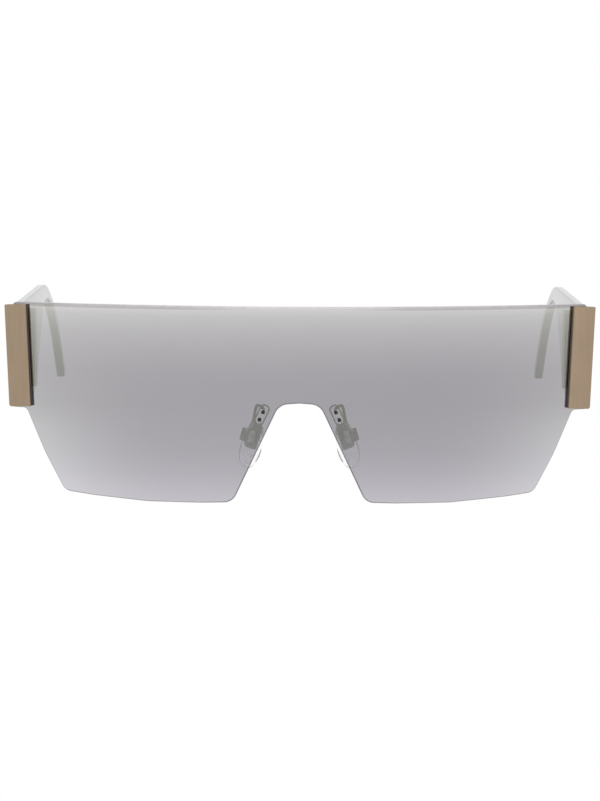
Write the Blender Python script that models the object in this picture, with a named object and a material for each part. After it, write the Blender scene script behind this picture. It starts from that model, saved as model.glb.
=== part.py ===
"""Rimless shield sunglasses with open temples.

The lens faces -Y and stands on its lower edge, and the temples run back along +Y.
While it is modelled, the lens front is at y = 0 in the middle and the lens top is at z = 0.
Everything is drawn for the side at +X, and the other side is its mirror image.
"""
import math

import bmesh
import bpy
from mathutils import Matrix, Vector

MM = 0.001

# Clearances
seat_gap = 0.2 * MM
bore_gap = 0.08 * MM
knuckle_gap = 0.15 * MM
swing_gap = 0.3 * MM
overrun = 1.0 * MM
same_place = 0.001 * MM

# Lens: a shell of constant thickness about an upright axis
lens_radius = 200.0 * MM
lens_thickness = 2.0 * MM
lens_half_width = 73.2 * MM
lens_corner_radius = 1.2 * MM
lens_top_chamfer = 0.4 * MM
lens_height = 50.1 * MM
lens_tab_margin = 0.35 * MM
lens_tab_radius = 1.2 * MM
lens_shoulder_inset = 3.65 * MM
lens_shoulder_radius = 1.4 * MM
lens_side_inset = 8.4 * MM
lens_side_drop = 37.9 * MM
lens_side_radius = 40.0 * MM
lens_foot_inset = 13.7 * MM
lens_foot_rise = 2.5 * MM
lens_foot_radius = 3.0 * MM
lens_belly_bend_share = 0.65
notch_foot_half_width = 16.8 * MM
notch_foot_rise = 0.8 * MM
notch_foot_radius = 3.3 * MM
notch_half_width = 5.1 * MM
notch_drop = 24.6 * MM
notch_crown = 0.4 * MM
notch_radius = 3.7 * MM
lens_column_spacing = 8.0 * MM

# Plaque and its tray, on the front of each lens end
plaque_inset = 2.0 * MM
plaque_width = 5.95 * MM
plaque_height = 26.0 * MM
plaque_thickness = 0.6 * MM
plaque_edge_radius = 0.18 * MM
plaque_top_drop = 0.5 * MM
plaque_lean = math.radians(2.7)
tray_thickness = 0.4 * MM
tray_show = 0.05 * MM
tray_corner_radius = 0.5 * MM

# Plaque screws, put in from behind
plaque_screw_radius = 0.6 * MM
plaque_screw_head_radius = 1.1 * MM
plaque_screw_head_height = 0.6 * MM
plaque_screw_bite = 0.3 * MM
plaque_screw_drops = (3.9 * MM, 19.3 * MM)
plaque_screw_inset = 2.8 * MM

# Hinge
hinge_inset = 3.8 * MM
hinge_lean = math.radians(1.45)
hinge_standoff = 4.3 * MM
hinge_top_drop = 5.4 * MM
knuckle_radius = 1.6 * MM
knuckle_height = 2.0 * MM
knuckle_count = 5
hinge_screw_radius = 0.6 * MM
hinge_screw_head_radius = 1.15 * MM
hinge_screw_head_height = 0.7 * MM

# End piece, behind each lens end
end_plate_thickness = 1.4 * MM
end_plate_inboard = 2.4 * MM
end_plate_outboard = 3.3 * MM
end_top_drop = 1.5 * MM
end_bottom_drop = 21.6 * MM
end_block_sink = 0.7 * MM
end_wing_inset = 0.5 * MM

# Temple, whose top edge is a straight run, a bend, a flatter run, a hook and a straight end
temple_thickness = 2.4 * MM
temple_height = 26.0 * MM
temple_edge_radius = 0.5 * MM
temple_tip_radius = 1.3 * MM
temple_top_drop = 1.3 * MM
temple_straight = 74.7 * MM
temple_bend_length = 14.0 * MM
temple_bend_turn = math.radians(16.5)
temple_flat_length = 13.0 * MM
temple_flat_turn = math.radians(2.5)
temple_hook_length = 30.0 * MM
temple_hook_turn = math.radians(20.0)
temple_end_length = 13.0 * MM

# Height along the temple's top edge: shares of its length, shares of its full height
temple_height_shares = (
    (0.000, 1.000), (0.222, 1.000), (0.259, 0.985), (0.288, 0.920), (0.327, 0.775), (0.366, 0.614),
    (0.405, 0.457), (0.444, 0.329), (0.483, 0.233), (0.532, 0.174), (0.611, 0.124), (0.698, 0.108),
    (0.826, 0.122), (1.000, 0.150),
)

# Flat metal core in the temple
core_thickness = 0.7 * MM
core_height = 5.2 * MM
core_top_drop = 0.6 * MM
core_length = 46.0 * MM
core_end_slant = 5.0 * MM

# Hinge leaf on the temple and its rivets
leaf_thickness = 0.7 * MM
leaf_start = 2.2 * MM
leaf_length = 8.0 * MM
leaf_tongue_length = 3.2 * MM
rivet_radius = 0.55 * MM
rivet_head_radius = 1.0 * MM
rivet_head_height = 0.45 * MM
rivet_inset = 2.3 * MM

# Pad bracket: plate, arm and box behind the lens beside the notch
bracket_inset = 2.85 * MM
bracket_below_notch = 2.75 * MM
bracket_width = 2.6 * MM
bracket_height = 5.5 * MM
bracket_thickness = 0.8 * MM
pin_spacing = 2.1 * MM
pin_radius = 0.3 * MM
pin_head_radius = 0.48 * MM
pin_head_height = 0.3 * MM
arm_radius = 0.4 * MM

# Pad: its screw is the rocking axis
pad_axis_outboard = 3.2 * MM
pad_axis_below = 5.85 * MM
pad_axis_standoff = 5.9 * MM
pad_lean = math.radians(16.0)
pad_splay = math.radians(52.0)
pad_width = 6.0 * MM
pad_height = 12.6 * MM
pad_thickness = 2.6 * MM
pad_low_shift = 2.2 * MM
pad_taper_share = 0.18
pad_core_width = 4.2 * MM
pad_core_height = 6.6 * MM
pad_core_thickness = 0.6 * MM
post_width = 1.2 * MM
post_height = 1.6 * MM
post_depth = 0.7 * MM
box_cheek = 0.5 * MM
box_height = 3.2 * MM
box_front = 0.9 * MM
box_floor = 0.5 * MM
pad_rock_gap = 0.6 * MM
pad_screw_radius = 0.4 * MM
pad_screw_head_radius = 0.7 * MM
pad_screw_head_height = 0.4 * MM

# Facets
round_sides = 20
small_sides = 12
pad_sides = 24
arm_steps = 5
temple_steps = 34
arc_step = math.radians(15.0)


def new_material(name, color, roughness, metallic, alpha=1.0):
    """A Principled material."""
    material = bpy.data.materials.new(name)
    material.use_nodes = True
    shader = material.node_tree.nodes["Principled BSDF"]
    shader.inputs["Base Color"].default_value = (*color, 1.0)
    shader.inputs["Roughness"].default_value = roughness
    shader.inputs["Metallic"].default_value = metallic
    shader.inputs["Alpha"].default_value = alpha
    material.diffuse_color = (*color, alpha)
    return material


def loft(rings):
    """Closed solid through rings of points, each ring with as many points."""
    body = bmesh.new()
    loops = [[body.verts.new(point) for point in ring] for ring in rings]
    for near, far in zip(loops, loops[1:]):
        for index in range(len(near)):
            after = (index + 1) % len(near)
            body.faces.new((near[index], near[after], far[after], far[index]))
    body.faces.new(loops[0])
    body.faces.new(reversed(loops[-1]))
    return body


def prism(outline, low, high, frame):
    """Outline in a frame's first two axes, extruded along its third from low to high."""
    return loft([[frame @ Vector((*point, level)) for point in outline] for level in (low, high)])


def circle(radius, sides):
    """Points of a circle round the origin."""
    steps = [math.tau * index / sides for index in range(sides)]
    return [(radius * math.cos(step), radius * math.sin(step)) for step in steps]


def turned(profile, frame, sides):
    """Solid of revolution about a frame's third axis, from (radius, level) points."""
    return loft([[frame @ Vector((*point, level)) for point in circle(radius, sides)]
                 for radius, level in profile])


def rectangle(left, right, low, high):
    """Corners of a rectangle."""
    return [(left, low), (right, low), (right, high), (left, high)]


def rounded_line(corners):
    """Open line through (u, v, radius) corners, each inner one turned into an arc."""
    line = [Vector(corners[0][:2])]
    for before, corner, after in zip(corners, corners[1:], corners[2:]):
        here = Vector(corner[:2])
        back = (Vector(before[:2]) - here).normalized()
        ahead = (Vector(after[:2]) - here).normalized()
        half_turn = (math.pi - back.angle(ahead)) / 2
        centre = here + (back + ahead).normalized() * corner[2] / math.cos(half_turn)
        start = here + back * corner[2] * math.tan(half_turn) - centre
        end = here + ahead * corner[2] * math.tan(half_turn) - centre
        first = math.atan2(start.y, start.x)
        turn = (math.atan2(end.y, end.x) - first + math.pi) % math.tau - math.pi
        steps = max(2, math.ceil(abs(turn) / arc_step))
        for step in range(steps + 1):
            angle = first + turn * step / steps
            line.append(centre + Vector((math.cos(angle), math.sin(angle))) * corner[2])
    line.append(Vector(corners[-1][:2]))
    return line


def rounded_rectangle(left, right, low, high, radius):
    """Closed rectangle with round corners."""
    middle = (left + right) / 2
    corners = [(middle, low, 0), (right, low, radius), (right, high, radius),
               (left, high, radius), (left, low, radius), (middle, low, 0)]
    return rounded_line(corners)[:-1]


def value_at(line, position):
    """Second coordinate of a line of points at a value of the first."""
    for near, far in zip(line, line[1:]):
        if near[0] <= position <= far[0] and far[0] > near[0]:
            share = (position - near[0]) / (far[0] - near[0])
            return near[1] + (far[1] - near[1]) * share
    return line[0][1] if position < line[0][0] else line[-1][1]


def eased_at(table, position):
    """Value of a table of points at a position, on a smooth curve that never overshoots."""
    slopes = [(far[1] - near[1]) / (far[0] - near[0]) for near, far in zip(table, table[1:])]
    tangents = [0.0]
    for before, after in zip(slopes, slopes[1:]):
        tangents.append(2 * before * after / (before + after) if before * after > 0 else 0.0)
    tangents.append(slopes[-1])
    for index, (near, far) in enumerate(zip(table, table[1:])):
        if position <= far[0] or index == len(slopes) - 1:
            span = far[0] - near[0]
            share = (position - near[0]) / span
            rise = far[1] - near[1]
            ease = share * share * (3 - 2 * share)
            start = span * tangents[index] * share * (1 - share) ** 2
            end = span * tangents[index + 1] * share * share * (share - 1)
            return near[1] + rise * ease + start + end
    return table[-1][1]


def frame_from(origin, first, second, third):
    """Matrix of a frame with three given axes."""
    return Matrix.Translation(origin) @ Matrix((first, second, third)).transposed().to_4x4()


def lens_front(station):
    """Depth of the lens's front at a place across it."""
    return lens_radius - math.sqrt(lens_radius ** 2 - station ** 2)


def lens_frame(station, drop):
    """Frame on the lens front: outboard, up, and back through the lens."""
    turn = math.asin(station / lens_radius)
    outboard = Vector((math.cos(turn), math.sin(turn), 0))
    up = Vector((0, 0, 1))
    back = Vector((-math.sin(turn), math.cos(turn), 0))
    origin = Vector((station, lens_front(station), -drop))
    return frame_from(origin, outboard, up, back)


def add_piece(name, body, material, origin, side):
    """Object from a body drawn at +X, mirrored for the other side, with its own origin."""
    origin = Vector((origin[0] * side, origin[1], origin[2]))
    for vertex in body.verts:
        vertex.co = Vector((vertex.co.x * side, vertex.co.y, vertex.co.z)) - origin
    bmesh.ops.recalc_face_normals(body, faces=body.faces)
    mesh = bpy.data.meshes.new(name)
    body.to_mesh(mesh)
    body.free()
    mesh.shade_smooth()
    mesh.set_sharp_from_angle(angle=math.radians(35.0))
    if material:
        mesh.materials.append(material)
    piece = bpy.data.objects.new(name, mesh)
    piece.location = origin
    bpy.context.scene.collection.objects.link(piece)
    return piece


def shape_with(piece, body, operation, side):
    """Cut a body out of a piece, or join it on."""
    tool = add_piece(f"{piece.name}_{operation.lower()}_{len(piece.modifiers)}", body, None,
                     (0, 0, 0), side)
    tool.hide_render = True
    tool.display_type = "WIRE"
    boolean = piece.modifiers.new(tool.name, "BOOLEAN")
    boolean.operation = operation
    boolean.solver = "EXACT"
    boolean.object = tool


def round_edges(piece, radius):
    """Round a piece's sharp edges."""
    bevel = piece.modifiers.new("round", "BEVEL")
    bevel.width = radius
    bevel.segments = 2
    bevel.limit_method = "ANGLE"


def lens_outline():
    """Edge of the lens's +X half, from the middle of the top to the middle of the notch."""
    tab_drop = plaque_top_drop + plaque_height + lens_tab_margin
    foot_x = lens_half_width - lens_foot_inset
    belly_x = (notch_foot_half_width + foot_x) / 2
    half_belly = belly_x - notch_foot_half_width
    belly_turn = math.atan(lens_foot_rise / half_belly) + math.atan(notch_foot_rise / half_belly)
    belly_radius = half_belly * lens_belly_bend_share / math.tan(belly_turn / 2)
    return rounded_line([
        (0, 0, 0),
        (lens_half_width, 0, lens_corner_radius),
        (lens_half_width, -tab_drop, lens_tab_radius),
        (lens_half_width - lens_shoulder_inset, -tab_drop, lens_shoulder_radius),
        (lens_half_width - lens_side_inset, -lens_side_drop, lens_side_radius),
        (foot_x, lens_foot_rise - lens_height, lens_foot_radius),
        (belly_x, -lens_height, belly_radius),
        (notch_foot_half_width, notch_foot_rise - lens_height, notch_foot_radius),
        (notch_half_width, -notch_drop, notch_radius),
        (0, notch_crown - notch_drop, 0),
    ])


def lens_column(station, top, bottom):
    """Section of the lens at a place across it."""
    turn = math.asin(station / lens_radius)
    section = [(0, bottom), (0, top - lens_top_chamfer), (lens_top_chamfer, top),
               (lens_thickness, top), (lens_thickness, bottom)]
    return [Vector(((lens_radius - depth) * math.sin(turn),
                    lens_radius - (lens_radius - depth) * math.cos(turn), level))
            for depth, level in section]


def add_lens(material):
    """The shield lens, with holes for the plaque screws and the bracket pins."""
    outline = lens_outline()
    corner = next(index for index, point in enumerate(outline)
                  if point.x > lens_half_width - same_place)
    top_line = outline[:corner + 1]
    bottom_line = outline[corner + 1:][::-1]
    count = round(lens_half_width / lens_column_spacing)
    stations = {round(lens_half_width * index / count, 6) for index in range(count)}
    stations |= {round(point.x, 6) for point in outline if point.x < lens_half_width - same_place}
    stations = sorted(stations) + [lens_half_width]
    half = [(station, value_at(top_line, station), value_at(bottom_line, station))
            for station in stations]
    half[-1] = (lens_half_width, top_line[-1].y, bottom_line[-1].y)
    columns = [(-station, top, bottom) for station, top, bottom in reversed(half[1:])] + half
    lens = add_piece("lens_shield", loft([lens_column(*column) for column in columns]),
                     material, (0, 0, 0), 1)
    for side in (-1, 1):
        for drop in plaque_screw_drops:
            hole = turned([(plaque_screw_radius + bore_gap, -overrun),
                           (plaque_screw_radius + bore_gap, lens_thickness + overrun)],
                          plaque_screw_frame(drop), small_sides)
            shape_with(lens, hole, "DIFFERENCE", side)
        for place in (-1, 1):
            hole = turned([(pin_radius + bore_gap, -overrun),
                           (pin_radius + bore_gap, lens_thickness + overrun)],
                          pin_frame(place), small_sides)
            shape_with(lens, hole, "DIFFERENCE", side)


def plaque_frame():
    """Frame on the lens front at the plaque's middle, leaning with the plaque."""
    frame = lens_frame(lens_half_width - plaque_inset, plaque_top_drop + plaque_height / 2)
    return frame @ Matrix.Rotation(-plaque_lean, 4, "Z")


def plaque_screw_frame(drop):
    """Frame of a plaque screw at the lens front."""
    return lens_frame(lens_half_width - plaque_screw_inset, drop)


def add_plaque(name, side, plaque_material, tray_material, screw_material):
    """Tray, plaque and the two screws that hold them."""
    frame = plaque_frame()
    tray_back = -seat_gap
    tray_front = tray_back - tray_thickness
    plaque_back = tray_front - seat_gap
    plaque_front = plaque_back - plaque_thickness
    half_width = plaque_width / 2
    half_height = plaque_height / 2
    tray_outline = rounded_rectangle(-half_width - tray_show, half_width, -half_height, half_height,
                                     tray_corner_radius)
    tray = add_piece(f"{name}_plaque_tray", prism(tray_outline, tray_front, tray_back, frame),
                     tray_material, frame.translation, side)
    plaque_outline = rectangle(-half_width, half_width, -half_height, half_height)
    plaque = add_piece(f"{name}_plaque", prism(plaque_outline, plaque_front, plaque_back, frame),
                       plaque_material, frame.translation, side)
    round_edges(plaque, plaque_edge_radius)
    tip = plaque_back - plaque_screw_bite
    head_seat = lens_thickness + seat_gap + end_plate_thickness + seat_gap
    hole_radius = plaque_screw_radius + bore_gap
    for label, drop in zip(("upper", "lower"), plaque_screw_drops):
        place = plaque_screw_frame(drop)
        shape_with(tray, turned([(hole_radius, tip - bore_gap), (hole_radius, overrun)],
                                place, small_sides), "DIFFERENCE", side)
        shape_with(plaque, turned([(hole_radius, tip - bore_gap), (hole_radius, overrun)],
                                  place, small_sides), "DIFFERENCE", side)
        profile = [(plaque_screw_radius, tip), (plaque_screw_radius, head_seat),
                   (plaque_screw_head_radius, head_seat),
                   (plaque_screw_head_radius, head_seat + plaque_screw_head_height)]
        add_piece(f"{name}_plaque_screw_{label}", turned(profile, place, round_sides),
                  screw_material, place.translation, side)


def hinge_x():
    """Distance of the hinge axis from the middle of the part."""
    return lens_half_width - hinge_inset


def hinge_y():
    """Depth of the hinge axis behind the lens's front."""
    return lens_front(hinge_x()) + lens_thickness + hinge_standoff


def hinge_frame():
    """Frame on the hinge axis at the top of the knuckles: outboard, back and up, leaning outboard."""
    place = Matrix.Translation((hinge_x(), hinge_y(), -hinge_top_drop))
    return place @ Matrix.Rotation(hinge_lean, 4, "Y")


def knuckle_span(index):
    """Lower and upper level of a knuckle, counted from the top."""
    top = -index * (knuckle_height + knuckle_gap)
    return top - knuckle_height, top


def hinge_height():
    """Height of the whole row of knuckles."""
    return knuckle_count * knuckle_height + (knuckle_count - 1) * knuckle_gap


def knuckle_outline(first, turn, tongue):
    """Outline of a knuckle: an arc from an angle through a turn, then the corners of its tongue."""
    steps = math.ceil(round_sides * turn / math.tau)
    angles = [first + turn * step / steps for step in range(steps + 1)]
    arc = [(knuckle_radius * math.cos(angle), knuckle_radius * math.sin(angle)) for angle in angles]
    return arc + tongue


def add_knuckles(piece, first, outline, side):
    """Join every second knuckle to a hinge half and bore them."""
    frame = hinge_frame()
    for index in range(first, knuckle_count, 2):
        low, high = knuckle_span(index)
        shape_with(piece, prism(outline, low, high, frame), "UNION", side)
    bore = turned([(hinge_screw_radius + bore_gap, -hinge_height() - overrun),
                   (hinge_screw_radius + bore_gap, overrun)], frame, small_sides)
    shape_with(piece, bore, "DIFFERENCE", side)


def add_end_piece(name, side, material, screw_material):
    """Plate behind the lens end, with a wing before the temple and the outer knuckles."""
    plate_frame = plaque_screw_frame(0)
    plate_front = lens_thickness + seat_gap
    plate_back = plate_front + end_plate_thickness
    plate = prism(rectangle(-end_plate_inboard, end_plate_outboard, -end_bottom_drop, -end_top_drop),
                  plate_front, plate_back, plate_frame)
    end_piece = add_piece(f"{name}_end_piece", plate, material, plate_frame.translation, side)
    block_front = -(hinge_y() - plate_frame.translation.y - plate_back) - end_block_sink
    wing_left = knuckle_radius + swing_gap
    wing_right = knuckle_radius + swing_gap + seat_gap + temple_thickness
    wing_front = (plate_frame @ Vector((end_plate_outboard, 0, plate_back))).y - hinge_y()
    wing_low = hinge_top_drop - end_bottom_drop + end_wing_inset
    wing_high = hinge_top_drop - end_top_drop - end_wing_inset
    wing = prism(rectangle(wing_left, wing_right, wing_front - end_block_sink, 0), wing_low,
                 wing_high, hinge_frame())
    shape_with(end_piece, wing, "UNION", side)
    tongue = [(-knuckle_radius, block_front), (knuckle_radius, block_front)]
    add_knuckles(end_piece, 0, knuckle_outline(0, math.pi, tongue), side)
    for drop in plaque_screw_drops:
        hole = turned([(plaque_screw_radius + bore_gap, lens_thickness),
                       (plaque_screw_radius + bore_gap, plate_back + overrun)],
                      plaque_screw_frame(drop), small_sides)
        shape_with(end_piece, hole, "DIFFERENCE", side)
    profile = [(hinge_screw_radius, -hinge_height()), (hinge_screw_radius, seat_gap),
               (hinge_screw_head_radius, seat_gap),
               (hinge_screw_head_radius, seat_gap + hinge_screw_head_height)]
    add_piece(f"{name}_hinge_screw", turned(profile, hinge_frame(), round_sides), screw_material,
              hinge_frame().translation, side)


def blade_face():
    """Distance from the hinge axis to the temple's inner face."""
    return knuckle_radius + swing_gap + seat_gap


def temple_frame():
    """Frame at the front of the temple's top edge: along it, up, and outboard through it."""
    corner = Matrix.Translation((blade_face(), 0, hinge_top_drop - temple_top_drop))
    turn = frame_from(Vector(), Vector((0, 1, 0)), Vector((0, 0, 1)), Vector((1, 0, 0)))
    return hinge_frame() @ corner @ turn


def temple_runs():
    """Lengths of the runs of the temple's top edge, and how far each one turns down."""
    return ((temple_straight, 0), (temple_bend_length, temple_bend_turn),
            (temple_flat_length, temple_flat_turn), (temple_hook_length, temple_hook_turn),
            (temple_end_length, 0))


def temple_length():
    """Length of the temple's top edge."""
    return sum(length for length, turn in temple_runs())


def temple_place(reach):
    """Place of the temple's top edge at a length along it, and how far it points down there."""
    along, up, heading = 0, 0, 0
    for length, turn in temple_runs():
        run = min(reach, length)
        bend = turn * run / length
        if bend:
            run_chord = run * math.sin(bend / 2) / (bend / 2)
        else:
            run_chord = run
        along += run_chord * math.cos(heading + bend / 2)
        up -= run_chord * math.sin(heading + bend / 2)
        heading += bend
        reach -= run
    return along, up, heading


def temple_ring(reach, beyond=0, drawn_in=0):
    """Section of the temple at a length along its top edge, and beyond it where it is drawn in."""
    along, up, heading = temple_place(reach)
    height = temple_height * eased_at(temple_height_shares, reach / temple_length())
    low = height - drawn_in
    cut = temple_edge_radius
    section = [(cut, drawn_in), (temple_thickness - cut, drawn_in), (temple_thickness, drawn_in + cut),
               (temple_thickness, low - cut), (temple_thickness - cut, low), (cut, low),
               (0, low - cut), (0, drawn_in + cut)]
    forward = Vector((math.cos(heading), -math.sin(heading), 0))
    down = Vector((-math.sin(heading), -math.cos(heading), 0))
    start = Vector((along, up, 0)) + forward * beyond
    frame = temple_frame()
    return [frame @ (start + down * depth + Vector((0, 0, across))) for across, depth in section]


def add_temple(name, side, temple_material, metal, screw_material):
    """Blade with its core, hinge leaf and rivets."""
    origin = hinge_frame().translation
    straight_shares = (0.0, 0.5, 1.0)
    tip_shares = (0.35, 0.65, 0.88)
    plain = temple_length() * temple_height_shares[1][0]
    reaches = [swing_gap + (plain - swing_gap) * share for share in straight_shares]
    reaches += [plain + (temple_length() - plain) * (index + 1) / temple_steps
                for index in range(temple_steps)]
    rings = [temple_ring(reach) for reach in reaches]
    for share in tip_shares:
        turn = share * math.pi / 2
        rings.append(temple_ring(temple_length(), temple_tip_radius * math.sin(turn),
                                 temple_tip_radius * (1 - math.cos(turn))))
    temple = add_piece(f"{name}_temple", loft(rings), temple_material, origin, side)

    frame = temple_frame()
    core_inner = (temple_thickness - core_thickness) / 2
    core_start = swing_gap + seat_gap
    core_low = -core_top_drop - core_height
    core_outline = [(core_start, core_low), (core_length - core_end_slant, core_low),
                    (core_length, -core_top_drop), (core_start, -core_top_drop)]
    add_piece(f"{name}_temple_core",
              prism(core_outline, core_inner, core_inner + core_thickness, frame),
              metal, origin, side)
    slot = rectangle(-overrun, core_length + seat_gap, core_low - seat_gap, seat_gap - core_top_drop)
    shape_with(temple, prism(slot, core_inner - seat_gap, core_inner + core_thickness + seat_gap,
                             frame), "DIFFERENCE", side)

    leaf_back = -seat_gap
    leaf_front = leaf_back - leaf_thickness
    leaf_low = temple_top_drop - hinge_top_drop - hinge_height()
    leaf_high = temple_top_drop - hinge_top_drop
    leaf_outline = rectangle(leaf_start, leaf_start + leaf_length, leaf_low, leaf_high)
    leaf = add_piece(f"{name}_hinge_leaf", prism(leaf_outline, leaf_front, leaf_back, frame),
                     metal, origin, side)
    tongue = [(knuckle_radius, leaf_tongue_length), (0, leaf_tongue_length)]
    add_knuckles(leaf, 1, knuckle_outline(math.pi / 2, math.pi * 3 / 2, tongue), side)
    middle = (leaf_low + leaf_high) / 2
    rivet_places = (leaf_start + rivet_inset, leaf_start + leaf_length - rivet_inset)
    for label, along in zip(("front", "rear"), rivet_places):
        place = frame @ Matrix.Translation((along, middle, 0))
        for holed in (temple, leaf):
            shape_with(holed, turned([(rivet_radius + bore_gap, leaf_front - overrun),
                                      (rivet_radius + bore_gap, temple_thickness + overrun)],
                                     place, small_sides), "DIFFERENCE", side)
        head_seat = leaf_front - seat_gap
        profile = [(rivet_head_radius, head_seat - rivet_head_height), (rivet_head_radius, head_seat),
                   (rivet_radius, head_seat), (rivet_radius, temple_thickness - bore_gap)]
        add_piece(f"{name}_leaf_rivet_{label}", turned(profile, place, small_sides), screw_material,
                  place.translation, side)


def bracket_frame():
    """Frame on the lens front at the bracket's middle, leaning with the notch's side."""
    side_slope = ((notch_foot_half_width - notch_half_width)
                  / (lens_height - notch_foot_rise - notch_drop))
    lean = math.atan(side_slope)
    station = notch_half_width + bracket_below_notch * side_slope + bracket_inset / math.cos(lean)
    frame = lens_frame(station, notch_drop + bracket_below_notch)
    return frame @ Matrix.Rotation(lean, 4, "Z")


def pin_frame(place):
    """Frame of the upper or lower bracket pin at the lens front."""
    return bracket_frame() @ Matrix.Translation((0, place * pin_spacing / 2, 0))


def pad_frame():
    """Frame on the pad's rocking axis: the screw's line, up the pad, and towards the nose."""
    up = Vector((-math.sin(pad_lean), 0, math.cos(pad_lean)))
    facing = Vector((-math.cos(pad_splay), math.sin(pad_splay), 0))
    facing = (facing - up * facing.dot(up)).normalized()
    offset = Vector((pad_axis_outboard, lens_thickness + pad_axis_standoff, -pad_axis_below))
    return frame_from(bracket_frame().translation + offset, up.cross(facing), up, facing)


def tube(points, radius, sides):
    """Round bar along a line of points."""
    rings = []
    for index, point in enumerate(points):
        before = points[max(index - 1, 0)]
        after = points[min(index + 1, len(points) - 1)]
        facing = (after - before).normalized()
        first = facing.cross(Vector((0, 0, 1))).normalized()
        frame = frame_from(point, first, facing.cross(first), facing)
        rings.append([frame @ Vector((*spot, 0)) for spot in circle(radius, sides)])
    return loft(rings)


def smooth_line(knots, steps):
    """Smooth curve through knots."""
    line = []
    for index, (near, far) in enumerate(zip(knots, knots[1:])):
        leaving = (far - knots[max(index - 1, 0)]) / 2
        arriving = (knots[min(index + 2, len(knots) - 1)] - near) / 2
        for step in range(steps):
            share = step / steps
            ease = share * share * (3 - 2 * share)
            line.append(near + (far - near) * ease + leaving * share * (1 - share) ** 2
                        - arriving * share * share * (1 - share))
    return line + [knots[-1]]


def box_width():
    """Width of the pad box over its cheeks."""
    return post_width + 2 * seat_gap + 2 * box_cheek


def box_back():
    """Distance from the rocking axis to the back of the pad box."""
    swing = math.hypot(post_depth, post_height / 2)
    return swing + seat_gap + box_floor


def add_pad_bracket(name, side, metal, pin_material, screw_material):
    """Bracket plate with its arm and box, its two pins and the pad screw."""
    frame = bracket_frame()
    plate_front = lens_thickness + seat_gap
    plate_back = plate_front + bracket_thickness
    half_width = bracket_width / 2
    half_height = bracket_height / 2
    plate_outline = rounded_rectangle(-half_width, half_width, -half_height, half_height,
                                      half_width - seat_gap)
    bracket = add_piece(f"{name}_pad_bracket", prism(plate_outline, plate_front, plate_back, frame),
                        metal, frame.translation, side)
    pad = pad_frame()
    half_box = box_width() / 2
    bend_height = half_height - half_width
    root = frame @ Vector((0, bend_height, plate_back - arm_radius))
    bend = frame @ Vector((half_width + 2 * arm_radius, bend_height, plate_back + arm_radius))
    fall = frame @ Vector((half_width, -half_height, plate_back + 2 * arm_radius))
    seat = pad @ Vector((0, box_height / 2 - box_floor, arm_radius - box_back()))
    knots = [root, bend, fall, seat]
    shape_with(bracket, tube(smooth_line(knots, arm_steps), arm_radius, small_sides), "UNION", side)
    box = prism(rectangle(-half_box, half_box, -box_height / 2, box_height / 2), -box_back(),
                box_front, pad)
    shape_with(bracket, box, "UNION", side)
    half_slot = post_width / 2 + seat_gap
    slot = prism(rectangle(-half_slot, half_slot, -box_height, box_height), box_floor - box_back(),
                 box_front + overrun, pad)
    shape_with(bracket, slot, "DIFFERENCE", side)
    across = pad @ Matrix.Rotation(math.pi / 2, 4, "Y")
    hole = turned([(pad_screw_radius + bore_gap, -half_box - overrun),
                   (pad_screw_radius + bore_gap, half_box + overrun)], across, small_sides)
    shape_with(bracket, hole, "DIFFERENCE", side)
    for label, place in (("upper", 1), ("lower", -1)):
        pin = pin_frame(place)
        shape_with(bracket, turned([(pin_radius + bore_gap, lens_thickness),
                                    (pin_radius + bore_gap, plate_back + overrun)],
                                   pin, small_sides), "DIFFERENCE", side)
        profile = [(pin_head_radius, -seat_gap - pin_head_height), (pin_head_radius, -seat_gap),
                   (pin_radius, -seat_gap), (pin_radius, plate_back)]
        add_piece(f"{name}_bracket_pin_{label}", turned(profile, pin, small_sides), pin_material,
                  pin.translation, side)
    profile = [(pad_screw_head_radius, -half_box - bore_gap - pad_screw_head_height),
               (pad_screw_head_radius, -half_box - bore_gap),
               (pad_screw_radius, -half_box - bore_gap), (pad_screw_radius, half_box)]
    add_piece(f"{name}_pad_screw", turned(profile, across, small_sides), screw_material,
              pad.translation, side)


def pad_ring(share, level, frame):
    """Outline of the silicone pad, drawn in by a share, at a distance from the axis."""
    points = []
    for across, along in circle(1, pad_sides):
        width = pad_width / 2 * share * across * (1 - pad_taper_share * along)
        height = pad_height / 2 * share * along
        points.append(frame @ Vector((width, height - pad_low_shift, level)))
    return points


def add_pad(name, side, silicone, metal):
    """Silicone pad and its metal core, which rock on the pad screw."""
    frame = pad_frame()
    pad_back = box_front + pad_rock_gap
    pad_levels_and_shares = ((0.0, 0.88), (0.3, 1.0), (0.55, 0.98), (0.8, 0.86), (0.95, 0.62),
                             (1.0, 0.35))
    rings = [pad_ring(share, pad_back + pad_thickness * level, frame)
             for level, share in pad_levels_and_shares]
    pad = add_piece(f"{name}_nose_pad", loft(rings), silicone, frame.translation, side)
    core_back = pad_back + seat_gap
    core_front = core_back + pad_core_thickness
    half_width = pad_core_width / 2
    half_height = pad_core_height / 2
    outline = rounded_rectangle(-half_width, half_width, -half_height, half_height, half_width / 2)
    core = add_piece(f"{name}_pad_core", prism(outline, core_back, core_front, frame), metal,
                     frame.translation, side)
    post = prism(rectangle(-post_width / 2, post_width / 2, -post_height / 2, post_height / 2),
                 -post_depth, (core_back + core_front) / 2, frame)
    shape_with(core, post, "UNION", side)
    across = frame @ Matrix.Rotation(math.pi / 2, 4, "Y")
    hole = turned([(pad_screw_radius + bore_gap, -post_width), (pad_screw_radius + bore_gap,
                                                                post_width)], across, small_sides)
    shape_with(core, hole, "DIFFERENCE", side)
    pocket = rounded_rectangle(-half_width - seat_gap, half_width + seat_gap,
                               -half_height - seat_gap, half_height + seat_gap, half_width / 2)
    shape_with(pad, prism(pocket, pad_back - overrun, core_front + seat_gap, frame),
               "DIFFERENCE", side)


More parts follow.
